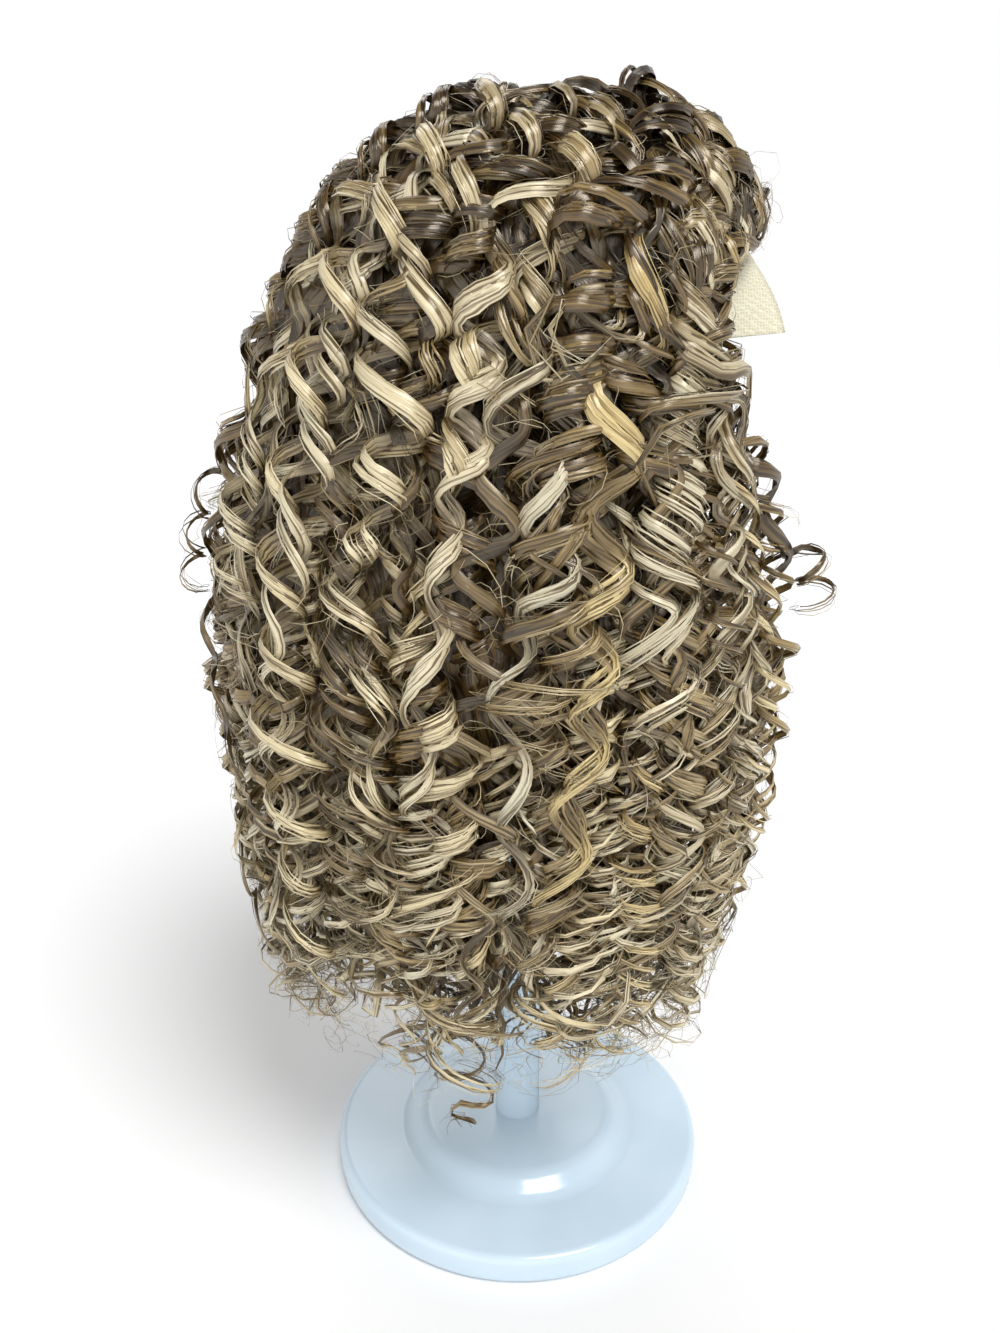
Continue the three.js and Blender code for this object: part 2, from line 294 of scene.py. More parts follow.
extrude_ring(REST_RADIUS_MM, POST_RADIUS_MM, underside, underside)
ring, ring_z = REST_RADIUS_MM, underside
for step in range(DOME_STEPS):
    next_ring = REST_RADIUS_MM * math.cos(math.pi / 2 * step / DOME_STEPS)
    next_z = post_top - dome_drop(next_ring) * MM
    extrude_ring(next_ring, ring, ring_z, next_z)
    ring, ring_z = next_ring, next_z
bpy.ops.object.mode_set(mode="OBJECT")
apply_modifier(
    post, "BEVEL", width=REST_ROUND_MM * MM, segments=3, limit_method="ANGLE",
    angle_limit=math.radians(40),
)
bpy.ops.object.shade_smooth_by_angle(angle=math.radians(35))
finish_piece(post, plastic, "stand_plastic", "stand_post")

# %% [markdown]
# ## Cap and lace cloth
# The cap is a stretchy machine-knitted net, dark so that it hides among the roots, with bands of
# stitching where the wefts are sewn on. The lace is a much finer cream net.
# Both nets are cells of a Voronoi pattern. Real meshes are about 1 mm and 0.5 mm wide, and both are
# drawn about twice as coarse here, so that they show.

# %% Cap and lace cloth
CAP_MESH_MM = 2.2
WEFT_MM = 9.0
LACE_MESH_MM = 1.1
# The wave texture repeats after this many units at scale 1.
WAVE_UNIT = 0.314


def net_cloth(name, mesh_mm, thread_hex, hole_hex, relief, relief_mm):
    """A material whose threads stand up between the holes of a net, and the colour of thread and hole."""
    material, tree, shader = new_material(name)
    coords = add_node(tree, "ShaderNodeTexCoord").outputs["Object"]
    cells = add_node(
        tree, "ShaderNodeTexVoronoi", {"feature": "DISTANCE_TO_EDGE"},
        {"Vector": coords, "Scale": 1 / (mesh_mm * MM), "Randomness": 0.35},
    )
    holes = add_node(
        tree, "ShaderNodeMapRange",
        inputs={"Value": cells.outputs["Distance"], "From Min": 0.04, "From Max": 0.22},
    ).outputs["Result"]
    thread = add_node(tree, "ShaderNodeValToRGB", inputs={"Fac": holes})
    set_ramp(thread, [(0.0, thread_hex), (1.0, hole_hex)])
    bump = add_node(
        tree, "ShaderNodeBump", {"invert": True},
        {"Height": holes, "Strength": relief, "Distance": relief_mm * MM},
    )
    set_inputs(tree, shader, {"Normal": bump.outputs["Normal"]})
    return material, tree, shader, coords, thread.outputs["Color"]


def knitted_net():
    material, tree, shader, coords, thread = net_cloth(
        "knitted_cap_net", CAP_MESH_MM, "#5b4a36", "#2c2217", 0.5, 0.6,
    )
    wefts = add_node(
        tree, "ShaderNodeTexWave", {"bands_direction": "Z"},
        {"Vector": coords, "Scale": WAVE_UNIT / (WEFT_MM * MM), "Distortion": 0.6, "Detail": 2.0},
    )
    band = add_node(tree, "ShaderNodeValToRGB", inputs={"Fac": wefts.outputs["Fac"]})
    set_ramp(band, [(0.62, "#ffffff"), (0.8, "#6a5d50")])
    colour = add_node(
        tree, "ShaderNodeMix", {"data_type": "RGBA", "blend_type": "MULTIPLY"},
        {"Factor": 1.0, "A": thread, "B": band.outputs["Color"]},
    )
    set_inputs(tree, shader, {
        "Base Color": colour.outputs["Result"], "Roughness": 0.85, "Sheen Weight": 0.2,
    })
    return material


def lace_net():
    material, tree, shader, _, thread = net_cloth(
        "fine_cream_lace", LACE_MESH_MM, "#e6e2cb", "#cfc8ad", 0.35, 0.3,
    )
    set_inputs(tree, shader, {
        "Base Color": thread, "Roughness": 0.7,
        "Subsurface Weight": 0.2, "Subsurface Radius": (0.002, 0.002, 0.0015),
    })
    return material


cap_cloth = knitted_net()
lace_cloth = lace_net()
print("made", cap_cloth.name, lace_cloth.name)

# %% [markdown]
# ## Cap and lace front
# Both are thin walls whose shape is already right in the solids, only faceted. A copy of each solid is
# merged into one skin and smoothed, so that the net lies on an even curve. A sphere could be cut to
# shape instead, but the copy keeps every edge where the solid has it.

# %% Cap and lace front


def smooth_copy(node, name, levels):
    bpy.ops.object.select_all(action="DESELECT")
    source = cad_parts[node]
    piece = bpy.data.objects.new(name, source.data.copy())
    piece.data.name = name
    bpy.context.scene.collection.objects.link(piece)
    bpy.context.view_layer.objects.active = piece
    piece.select_set(True)
    bpy.ops.object.mode_set(mode="EDIT")
    bpy.ops.mesh.select_all(action="SELECT")
    bpy.ops.mesh.remove_doubles(threshold=1e-6)
    wide = math.radians(60)
    bpy.ops.mesh.tris_convert_to_quads(face_threshold=wide, shape_threshold=wide)
    bpy.ops.mesh.select_mode(type="EDGE")
    bpy.ops.mesh.select_all(action="DESELECT")
    bpy.ops.mesh.edges_select_sharp(sharpness=math.radians(50))
    bpy.ops.transform.edge_crease(value=1.0)
    bpy.ops.object.mode_set(mode="OBJECT")
    apply_modifier(piece, "SUBSURF", levels=levels, render_levels=levels)
    bpy.ops.object.shade_smooth()
    return piece


cap = smooth_copy("wig_cap", "cap_net", 1)
finish_piece(cap, cap_cloth, "cap_net", "wig_cap")
lace = smooth_copy("lace_front", "lace_front_net", 2)
finish_piece(lace, lace_cloth, "lace", "lace_front")

# %% [markdown]
# ## Hair fibre
# The fibre is a fine heat-set synthetic with a soft sheen. Seen close, a lock is a band of fibres side
# by side, so streaks run along each strand, drawn on the strand's own map in millimetres. A real fibre is
# about 0.08 mm thick. The streaks, and the bundles with dark furrows of painted shade between them, are
# drawn coarser, so that they show. Fibres gleam across their length, which is what the anisotropy gives.
# The colour of a strand comes from its attributes: red is how blond it is, green sets it apart from
# its neighbours, blue runs from root to tip and darkens the roots with painted shade, alpha is high on
# the outer side of each turn, whose inner side is darkened with painted shade, and warmth leads from ash
# to gold.

# %% Hair fibre
STREAK_MM = 0.5
BUNDLE_MM = 1.3
STREAK_LENGTH_MM = 45
BROWNER = -0.78


def hair_fibre():
    material, tree, shader = new_material("curled_hair_fibre")
    tone = add_node(tree, "ShaderNodeAttribute", {"attribute_name": "tone"})
    parts = add_node(tree, "ShaderNodeSeparateColor", inputs={"Color": tone.outputs["Color"]})
    warmth = add_node(tree, "ShaderNodeAttribute", {"attribute_name": "warmth"})
    strand_map = add_node(tree, "ShaderNodeUVMap", {"uv_map": "fibre"})
    lines = []
    for width_mm, detail, rough in ((STREAK_MM, 2.0, 0.6), (BUNDLE_MM, 1.0, 0.5)):
        stretch = add_node(tree, "ShaderNodeMapping", inputs={
            "Vector": strand_map.outputs["UV"], "Scale": (1 / width_mm, 1 / STREAK_LENGTH_MM, 1),
        })
        noise = add_node(
            tree, "ShaderNodeTexNoise", {"noise_dimensions": "2D"},
            {"Vector": stretch.outputs["Vector"], "Scale": 1.0, "Detail": detail, "Roughness": rough},
        )
        lines.append(noise.outputs["Fac"])
    streak, bundle = lines
    # Each of these moves the strand's place on the ramp from brown to cream by its share.
    place = BROWNER
    for output, share in (
        (bundle, 0.5), (streak, 0.6), (parts.outputs["Green"], 0.22), (parts.outputs["Blue"], 0.57),
        (parts.outputs["Red"], 1.0),
    ):
        added = add_node(
            tree, "ShaderNodeMath", {"operation": "MULTIPLY_ADD"}, {0: output, 1: share, 2: place},
        )
        place = added.outputs["Value"]
    ramp = add_node(tree, "ShaderNodeValToRGB", inputs={"Fac": place})
    set_ramp(ramp, [
        (0.0, "#261703"), (0.22, "#443113"), (0.45, "#6d5934"), (0.7, "#a18f69"), (1.0, "#dcd4bc"),
    ])
    # The first three rows are painted shade, at the roots, on the inner side of each turn and in the
    # furrows between bundles, where hairs too fine to be built would shade them.
    # The last row lets each lock lean to ash or to gold.
    colour = ramp.outputs["Color"]
    for output, stops in (
        (parts.outputs["Blue"], [(0.0, "#8c857c"), (0.16, "#ffffff")]),
        (tone.outputs["Alpha"], [(0.0, "#83786a"), (0.5, "#dcd6cb"), (1.0, "#ffffff")]),
        (bundle, [(0.35, "#75674f"), (0.5, "#ffffff")]),
        (warmth.outputs["Fac"], [(0.0, "#f2f4f5"), (0.5, "#fffcf2"), (1.0, "#fff0c4")]),
    ):
        shade = add_node(tree, "ShaderNodeValToRGB", inputs={"Fac": output})
        set_ramp(shade, stops)
        shaded = add_node(
            tree, "ShaderNodeMix", {"data_type": "RGBA", "blend_type": "MULTIPLY"},
            {"Factor": 1.0, "A": colour, "B": shade.outputs["Color"]},
        )
        colour = shaded.outputs["Result"]
    groove = add_node(
        tree, "ShaderNodeMath", {"operation": "MULTIPLY_ADD"}, {0: streak, 1: 0.3, 2: bundle},
    )
    bump = add_node(
        tree, "ShaderNodeBump",
        inputs={"Height": groove.outputs["Value"], "Strength": 0.7, "Distance": 0.4 * MM},
    )
    across = add_node(tree, "ShaderNodeTangent", {"direction_type": "UV_MAP", "uv_map": "fibre"})
    set_inputs(tree, shader, {
        "Base Color": colour, "Normal": bump.outputs["Normal"], "Tangent": across.outputs["Tangent"],
        "Roughness": 0.3, "Anisotropic": 0.9, "Specular IOR Level": 1.0,
        "Specular Tint": linear("#fff3e0"), "IOR": 1.55,
    })
    return material


fibre = hair_fibre()
print("made", fibre.name)

# %% [markdown]
# ## The outline that the curls fill
# The same few rows as in the solids give the hair's reach to the front, side and back at each height.
# A place between the rows, a turn about the axis and a depth below the outline make one point.
# Turn 0 is the front, 90 the wearer's right and 180 the back.

# %% The outline that the curls fill
OUTLINE_MM = {
    "z": [502, 496, 483, 461, 430, 385, 330, 275, 215, 160, 108],
    "shift": [-15, -15, -12, -7, -2, 0, 0, 0, 0, 0, 0],
    "front": [0, 34, 60, 84, 97, 107, 121, 126, 118, 106, 92],
    "side": [0, 32, 56, 79, 95, 106, 116, 120, 117, 109, 97],
    "back": [0, 35, 60, 83, 96, 113, 129, 134, 133, 124, 112],
}


def outline(column, place):
    values = np.array(OUTLINE_MM[column], float)
    last = len(values) - 1
    low = np.clip(np.floor(place).astype(int), 0, last - 1)
    t = place - low
    p0, p1 = values[np.maximum(low - 1, 0)], values[low]
    p2, p3 = values[low + 1], values[np.minimum(low + 2, last)]
    slope1, slope2 = (p2 - p0) / 2, (p3 - p1) / 2
    return (
        (2 * t ** 3 - 3 * t ** 2 + 1) * p1 + (t ** 3 - 2 * t ** 2 + t) * slope1
        + (3 * t ** 2 - 2 * t ** 3) * p2 + (t ** 3 - t ** 2) * slope2
    )


def outline_profile(turn, place):
    place = np.maximum(place, 0)
    across, along = np.sin(np.radians(turn)), np.cos(np.radians(turn))
    length = np.where(along > 0, outline("front", place), outline("back", place))
    side = np.maximum(outline("side", place), 1e-3)
    reach = 1 / np.hypot(across / side, along / np.maximum(length, 1e-3))
    return np.stack([reach, outline("z", place)], axis=-1)


def hair_point(turn, place, depth):
    turn, place, depth = np.broadcast_arrays(*(np.asarray(x, float) for x in (turn, place, depth)))
    step = 0.05
    here = outline_profile(turn, place)
    along = outline_profile(turn, place + step) - outline_profile(turn, place - step)
    along /= np.linalg.norm(along, axis=-1, keepdims=True)
    reach = np.maximum(here[..., 0] + along[..., 1] * depth, 0)
    z = here[..., 1] - along[..., 0] * depth
    shift = outline("shift", np.maximum(place, 0))
    return np.stack(
        [-np.sin(np.radians(turn)) * reach, -np.cos(np.radians(turn)) * reach + shift, z], axis=-1,
    )


print("hair from", hair_point(90, 10, 0).round(), "up to", hair_point(90, 0, 0).round())

# %% [markdown]
# ## One lock's middle line
# A lock leaves the cap, rises through the hair and then falls. Its middle line is given by a few
# stations of turn, place and depth, eased between them, and is laid out again with a point at every
# millimetre. Beside the face opening the lines keep behind the hairline, and come forward below it.
# Two directions ride along each line: outwards from the cap, and sideways along it. A slow sway, with a
# shorter one that grows towards the end, keeps neighbours from hanging in step.

# %% One lock's middle line
FACE_EDGE = {
    "place": [0.0, 2.6, 3.2, 3.7, 4.1, 4.7, 5.3, 6.0, 10.0],
    "turn": [0, 0, 14, 43, 55, 55, 43, 36, 30],
}


def unit(v):
    return v / np.maximum(np.linalg.norm(v, axis=-1, keepdims=True), 1e-9)


def ease(x, low, high):
    t = np.clip((x - low) / (high - low), 0, 1)
    return t * t * (3 - 2 * t)


def eased(stations, count):
    stations = np.asarray(stations, float)
    at = np.linspace(0, len(stations) - 1, count)
    low = np.minimum(at.astype(int), len(stations) - 2)
    t = (at - low)[:, None]
    p0, p1, p2, p3 = (stations[np.clip(low + i, 0, len(stations) - 1)] for i in (-1, 0, 1, 2))
    return 0.5 * (
        2 * p1 + (p2 - p0) * t + (2 * p0 - 5 * p1 + 4 * p2 - p3) * t ** 2
        + (3 * p1 - p0 - 3 * p2 + p3) * t ** 3
    )


def even_spacing(points):
    run = np.r_[0, np.cumsum(np.linalg.norm(np.diff(points, axis=0), axis=1))]
    at = np.arange(0, run[-1], 1.0)
    return np.stack([np.interp(at, run, points[:, i]) for i in range(3)], axis=1)


def clear_of_face(turn, place):
    """Turns run from -180 to 180, or past 180 on the back; only those beside the face are moved."""
    edge = np.interp(place, FACE_EDGE["place"], FACE_EDGE["turn"])
    return np.where(turn < 0, np.minimum(turn, -edge), np.maximum(turn, edge))


def lock_axis(stations, sway=0.0, rng=None):
    turn, place, depth = eased(stations, 40 * len(stations)).T
    line = even_spacing(hair_point(clear_of_face(turn, place), place, depth))
    ahead = unit(np.gradient(line, axis=0))
    middle = np.stack([0 * line[:, 2], 0 * line[:, 2] - 6, np.minimum(line[:, 2], 400)], axis=1)
    out = line - middle
    out = unit(out - ahead * np.sum(out * ahead, axis=1, keepdims=True))
    side = np.cross(ahead, out)
    if sway:
        at = np.arange(len(line))
        grow = ease(at, 30, 110)
        for wave_mm, share in ((150, 0.7), (85, 0.45)):
            angle = 2 * np.pi * at / (wave_mm * rng.uniform(0.8, 1.25)) + rng.uniform(0, 7)
            line = line + side * (sway * share * grow * np.sin(angle))[:, None]
            line = line + out * (0.5 * sway * share * grow * np.sin(angle + rng.uniform(0, 7)))[:, None]
        short = sway * grow * (1 + 1.4 * (1 - ease(at[::-1], 0, 80)))
        line = line + side * (0.5 * short * np.sin(1.9 * angle + 1))[:, None]
        line = line + out * (0.22 * short * np.sin(2.3 * angle + 2))[:, None]
    return line, out, side


straight = [(90, 1, 8), (90, 4, 8), (90, 10, 8)]
print("from crown to hem a lock is", len(lock_axis(straight)[0]), "mm long")

# %% [markdown]
# ## Keeping off the cap
# The cap is an egg-shaped dome that leans forward. Hair is tied to its outside, so any point that would
# lie within it is moved out to just above it.

# %% Keeping off the cap
CAP_WIDEST_Z_MM = 385
CAP_HALF_MM = {"width": 76, "length": 96, "rise": 93, "drop": 120}
CAP_LEAN_MM = 16
CAP_CLEAR_MM = 2.5
CAP_EDGE_Z_MM = 345


def clear_of_cap(points):
    up = points[:, 2] - CAP_WIDEST_Z_MM
    lean = -CAP_LEAN_MM * np.clip(up / CAP_HALF_MM["rise"], 0, 1) ** 2
    tall = np.where(up > 0, CAP_HALF_MM["rise"], CAP_HALF_MM["drop"]) + CAP_CLEAR_MM
    x, y = points[:, 0], points[:, 1] - lean
    inside = (
        (x / (CAP_HALF_MM["width"] + CAP_CLEAR_MM)) ** 2
        + (y / (CAP_HALF_MM["length"] + CAP_CLEAR_MM)) ** 2 + (up / tall) ** 2
    )
    grow = np.where((inside < 1) & (points[:, 2] > CAP_EDGE_Z_MM), 1 / np.sqrt(np.maximum(inside, 0.2)), 1.0)
    return np.stack([x * grow, y * grow + lean, up * grow + CAP_WIDEST_Z_MM], axis=1)


print("a point in the cap moves to", clear_of_cap(np.array([[50.0, 0.0, 420.0]])).round(1))

# %% [markdown]
# ## A ringlet
# Hair set on a rod winds round it as a band. So each strand of a lock runs on a helix about the
# middle line, a little flattened against the cap, with its broad side facing out of the helix.
# A lock has a few clumps that lie side by side along the rod. Each clump has one rounded band of combed
# fibres with slightly ragged edges, fine hairs lifted on top of it, and loose hairs that have left it.
# Small details draw from a generator of their own, so that changing them leaves the locks where they are.

# %% A ringlet
DETAIL_RNG = np.random.default_rng(7)
WARMTH = (0.2, 0.8)
RAGGED_SHARE = 0.22


def wander(rng, length, size):
    at = np.arange(length)
    total = np.zeros((length, 3))
    for wave_mm in (40, 110):
        angle = 2 * np.pi * at[:, None] / (wave_mm * rng.uniform(0.8, 1.3, 3)) + rng.uniform(0, 7, 3)
        total += np.sin(angle)
    return total * size * np.interp(at / length, [0, 0.5, 1], [0.2, 0.7, 1.5])[:, None]


def helix(axis, look, end, clump, along, lift, stray, steps):
    """A strand's centre line, the way its broad side faces, its root-to-tip share and painted turn light."""
    line, out, side = axis
    at = np.arange(len(line), dtype=float)
    left = len(line) - 1 - at
    radius = look["radius"] * (0.12 + 0.88 * ease(at, 4, look["rise"]))
    radius = radius * (1 + 0.3 * np.sin(at / 41 + look["phase"]) * ease(at, 40, 90))
    radius = radius * (1 + 0.25 * (1 - ease(left, 0, 40)))
    pitch = look["pitch"] * clump["pitch"] * (1 + 0.2 * np.sin(at / 29 + 2 * look["phase"]))
    pitch = pitch * (1 - 0.2 * (1 - ease(left, 0, 60)))
    turns = np.cumsum(1 / pitch)
    wound = np.cumsum(np.tanh((look["flip"] * len(line) - at) / 7) / pitch)
    segments = max(int(turns[int(end)] * steps), 6)
    s = np.linspace(0, end, segments + 1)
    pick = lambda table, where: np.stack([np.interp(where, at, table[:, i]) for i in range(3)], axis=1)
    noise = pick(stray, s)
    gather = 0.35 + 0.65 * ease(s, 0, 45)
    q = np.clip(s + (clump["along"] + along) * gather + noise[:, 0], 0, len(line) - 1)
    wobble = np.sin(s / 27 + 3 * look["phase"]) + np.sin(s / 61 + 5 * look["phase"])
    angle = look["hand"] * 2 * np.pi * np.interp(s, at, wound) + look["phase"] + clump["phase"]
    angle = angle + look["wobble"] * wobble
    r = np.maximum(np.interp(s, at, radius) + noise[:, 1], 0.3)[:, None]
    o, b = pick(out, q), pick(side, q)
    cos, sin = np.cos(angle)[:, None], np.sin(angle)[:, None]
    loose = ease(s / end, 0.1, 0.8)[:, None]
    centre = pick(line, q) + r * (look["flat"] * cos * o + sin * b) + 0.4 * noise
    centre = centre + loose * (clump["out"] * o + clump["side"] * b)
    firm = ease(s, 5, look["rise"])[:, None]
    turned = cos * o + sin * b if look["rolled"] else o + look["tilt"] * sin * b
    face = unit((1 - firm) * o + firm * turned)
    # Painted shade: 1 on the outer side of each turn and lower on its inner side, which the material
    # darkens.
    painted_turn_light = 0.5 + 0.5 * np.cos(angle) * firm[:, 0]
    return clear_of_cap(centre + lift * gather[:, None] * face), face, s / end, painted_turn_light


def ringlet(rng, axis, look):
    length = len(axis[0])
    warmth = look.get("warmth", DETAIL_RNG.uniform(*WARMTH))
    strands = []
    for index in range(look["clumps"]):
        clump = {
            "along": (index - (look["clumps"] - 1) / 2) * look["apart"] + rng.uniform(-1, 1),
            "phase": rng.uniform(-0.15, 0.15), "pitch": 1 + look["dephase"] * rng.uniform(-1, 1),
            "out": look["loosen"] * rng.uniform(-0.7, 0.7), "side": look["loosen"] * rng.uniform(-1, 1),
        }
        tone = look["tone"] + look["mix"] * rng.uniform(-1, 1)
        for part in ["body"] * look["body"] + ["fine"] * look["fine"] + ["loose"] * look["loose"]:
            end = (length - 1) * (1 - rng.uniform(0, 0.07))
            width = rng.uniform(*WIDTHS_MM[part]) * look["thickness"]
            along, lift, shake = look["band"] * rng.uniform(-0.5, 0.5), rng.uniform(-0.4, 0.4), 0.4
            if part == "fine":
                along, lift, shake = look["band"] * rng.uniform(-1.6, 1.6), rng.uniform(0.2, 1.5), 0.6
            if part == "loose":
                along, lift, shake = look["band"] * rng.uniform(-2, 2), rng.uniform(-2, 2.5), 1.7
            centre, face, share, painted_turn_light = helix(
                axis, look, end, clump, along, lift, wander(rng, length, shake * look["stray"]),
                max(look["steps"] * STEP_SHARE[part], FEWEST_STEPS),
            )
            taper = (1 - 0.85 * ease(share, 0.86, 1.0)) * (0.55 + 0.45 * ease(share, 0.0, 0.1))
            if part == "body":
                taper = taper * (1 + 0.22 * np.sin(share * length / 19 + rng.uniform(0, 7)))
                taper = taper * (1 - look["thin"] * ease(share, 0.4, 0.85))
            own = 0.06 * rng.uniform(-1, 1) + (rng.uniform(0, 0.3) if part == "loose" else 0)
            ragged = RAGGED_SHARE if part == "body" else 0.0
            strands.append({
                "centre": centre, "face": face, "width": width * taper, "tone": tone + own, "share": share,
                "painted_turn_light": painted_turn_light, "warmth": warmth,
                "edges": 1 + ragged * DETAIL_RNG.uniform(-1, 0.6, (len(centre), 2)),
            })
    return strands


loose_path = wander(np.random.default_rng(1), 300, 1.7)
print("a loose hair wanders by up to", np.abs(loose_path).max().round(1), "mm")

# %% [markdown]
# ## Strands as one mesh
# A strand is a flat closed prism with three long faces: two that slope to a low ridge on its outer
# side and a flat back. All strands of a piece become one mesh straight from arrays, because nothing
# else makes so many of them in reasonable time. Each strand carries its own map in millimetres, and a
# second map that lays the strands side by side, which keeps them apart when colours are stored.

# %% Strands as one mesh
RIDGE_SHARE = 0.32
THINNEST_MM = 0.08
RING = 3


def ring_points(strand):
    centre, face = strand["centre"], strand["face"]
    ahead = unit(np.gradient(centre, axis=0))
    face = unit(face - ahead * np.sum(face * ahead, axis=1, keepdims=True))
    across = np.cross(ahead, face)
    half = np.maximum(strand["width"], 0.2)[:, None] / 2
    ridge = centre + face * np.maximum(2 * half * RIDGE_SHARE, THINNEST_MM)
    edges = strand.get("edges", np.ones((len(centre), 2)))
    left = centre + across * half * edges[:, :1]
    right = centre - across * half * edges[:, 1:]
    return np.stack([ridge, left, right], axis=1)


def strip(low, high, v_low, v_high):
    """Four corners for each face of a strand: across from low to high, along from v_low to v_high."""
    low, high, v_low, v_high = np.broadcast_arrays(
        low[None, :], high[None, :], v_low[:, None], v_high[:, None],
    )
    corners = [(low, v_low), (high, v_low), (high, v_high), (low, v_high)]
    return np.stack([np.stack(c, axis=-1) for c in corners], axis=2).reshape(-1, 2)


def strand_arrays(strand, first, cell, rng):
    ring = ring_points(strand)
    count = len(ring)
    corner = first + RING * np.arange(count - 1)[:, None]
    sides = [
        np.stack([corner + k, corner + after, corner + RING + after, corner + RING + k], axis=2)
        for k, after in ((0, 1), (1, 2), (2, 0))
    ]
    end = first + RING * (count - 1)
    tone = np.ones((count, RING, 4))
    tone[..., 0] = np.clip(strand["tone"], 0, 1)
    tone[..., 1] = rng.uniform()
    # Blue runs from root to tip; the material darkens the roots with painted shade from it and makes the
    # tips blonder.
    tone[..., 2] = strand["share"][:, None]
    # Alpha carries the painted shade of each turn; frizz, which has none, takes an even 0.6.
    tone[..., 3] = np.broadcast_to(strand.get("painted_turn_light", 0.6), (count,))[:, None]
    run = np.r_[0, np.cumsum(np.linalg.norm(np.diff(strand["centre"], axis=0), axis=1))]
    wide = np.max(strand["width"])
    across = np.array([0.5, 1.0, 0.0]) * wide + rng.uniform(0, 400)
    reach = np.array([0.5, 1.0, 0.5]) * wide
    u, v, w, h = cell
    third = w / RING * np.arange(RING)
    up = v + 0.94 * h * run / run[-1]
    tips = [[0.0, 0.95], [0.3, 0.95], [0.0, 0.99], [0.5, 0.95], [0.8, 0.95], [0.5, 0.99]]
    return {
        "points": ring.reshape(-1, 3),
        "quads": np.concatenate(sides, axis=1).reshape(-1, 4),
        "caps": np.array([[first, first + 2, first + 1], [end, end + 1, end + 2]]),
        "tone": tone.reshape(-1, 4),
        "warmth": np.full(RING * count, strand.get("warmth", 0.5)),
        "fibre": strip(across, across + reach, run[:-1], run[1:]),
        "OFBake": strip(u + third, u + third + w / RING, up[:-1], up[1:]),
        "tips": np.array([[u + w * a, v + h * b] for a, b in tips]),
    }


def strand_mesh(name, strands, rng):
    columns = math.ceil(math.sqrt(len(strands) * 6))
    rows = math.ceil(len(strands) / columns)
    made, first = [], 0
    for index, strand in enumerate(strands):
        cell = (index % columns / columns, index // columns / rows, 0.9 / columns, 0.97 / rows)
        made.append(strand_arrays(strand, first, cell, rng))
        first += RING * len(strand["centre"])
    stack = {key: np.concatenate([m[key] for m in made]) for key in made[0]}
    quads, caps = stack["quads"], stack["caps"]
    mesh = bpy.data.meshes.new(name)
    mesh.vertices.add(first)
    mesh.vertices.foreach_set("co", stack["points"].ravel() * MM)
    mesh.loops.add(quads.size + caps.size)
    mesh.loops.foreach_set("vertex_index", np.concatenate([quads.ravel(), caps.ravel()]))
    mesh.polygons.add(len(quads) + len(caps))
    starts = np.concatenate([4 * np.arange(len(quads)), quads.size + 3 * np.arange(len(caps))])
    mesh.polygons.foreach_set("loop_start", starts)
    mesh.update(calc_edges=True)
    for layer_name in ("fibre", "OFBake"):
        layer = mesh.uv_layers.new(name=layer_name)
        layer.data.foreach_set("uv", np.concatenate([stack[layer_name], stack["tips"]]).ravel())
    attribute = mesh.attributes.new("tone", "FLOAT_COLOR", "POINT")
    attribute.data.foreach_set("color", stack["tone"].ravel())
    attribute = mesh.attributes.new("warmth", "FLOAT", "POINT")
    attribute.data.foreach_set("value", stack["warmth"])
    piece = bpy.data.objects.new(name, mesh)
    bpy.context.scene.collection.objects.link(piece)
    return piece


def add_hair(name, strands, rng, *nodes):
    piece = strand_mesh(name, strands, rng)
    bpy.context.view_layer.objects.active = piece
    piece.select_set(True)
    bpy.ops.object.shade_smooth_by_angle(angle=math.radians(70))
    finish_piece(piece, fibre, "hair_fibre", *nodes)
    triangles = sum(len(p.vertices) - 2 for p in piece.data.polygons)
    print(name, len(strands), "strands", triangles, "triangles")
    return piece


print("a strand has", RING, "long faces")

# %% [markdown]
# ## Kinds of lock
# Three kinds make up the wig: fat ringlets, slimmer waves that carry most of the highlights, and tight
# frizzy curls, which fill the lower half. A fourth, broad and nearly straight, lies under them all.
# Sizes are in millimetres. A pair of numbers is a range that each lock draws from.

# %% Kinds of lock
WIDTHS_MM = {"body": (2.4, 5.2), "fine": (0.45, 0.9), "loose": (0.22, 0.34)}
STEP_SHARE = {"body": 1.0, "fine": 0.83, "loose": 0.67}
FEWEST_STEPS = 7
KINDS = {
    "ringlet": dict(radius=(6.0, 10.5), pitch=(22, 35), clumps=(2, 4), apart=(3.0, 4.4),
        band=(1.4, 2.2), flat=(0.5, 0.75), stray=(0.5, 0.9), wobble=(0.3, 0.75),
        body=1, fine=2, loose=1, rolled=True, steps=12, loosen=3, dephase=0.03,
        thickness=1.0, highlights=0.28, thin=0.4, tilt=0.7),
    "wave": dict(radius=(5, 8), pitch=(27, 36), clumps=(1, 3), apart=(3.5, 5.5),
        band=(1.0, 1.9), flat=(0.25, 0.5), stray=(0.5, 0.9), wobble=(0.3, 0.75),
        body=1, fine=2, loose=1, rolled=False, steps=12, loosen=4, dephase=0.04,
        thickness=1.1, highlights=0.5, thin=0.4, tilt=0.7),
    "frizzy": dict(radius=(4.2, 9.5), pitch=(17, 31), clumps=(2, 4), apart=(2.0, 5.0),
        band=(0.8, 1.6), flat=(0.5, 1.0), stray=(0.9, 1.6), wobble=(0.4, 1.0),
        body=1, fine=1, loose=1, rolled=True, steps=9, loosen=9, dephase=0.18,
        thickness=0.7, highlights=0.45, thin=0.2, tilt=0.7),
    "inner": dict(radius=(1.5, 3), pitch=(26, 38), clumps=(1, 2), apart=(1, 2),
        band=(1, 2), flat=(0.4, 0.6), stray=(0.8, 1.6), wobble=(0.2, 0.5),
        body=1, fine=0, loose=0, rolled=False, steps=7, loosen=1, dephase=0.0,
        thickness=2.0, highlights=0.0, thin=0.0, tilt=0.2),
}
DRAWN = ("radius", "pitch", "apart", "band", "flat", "stray", "wobble")


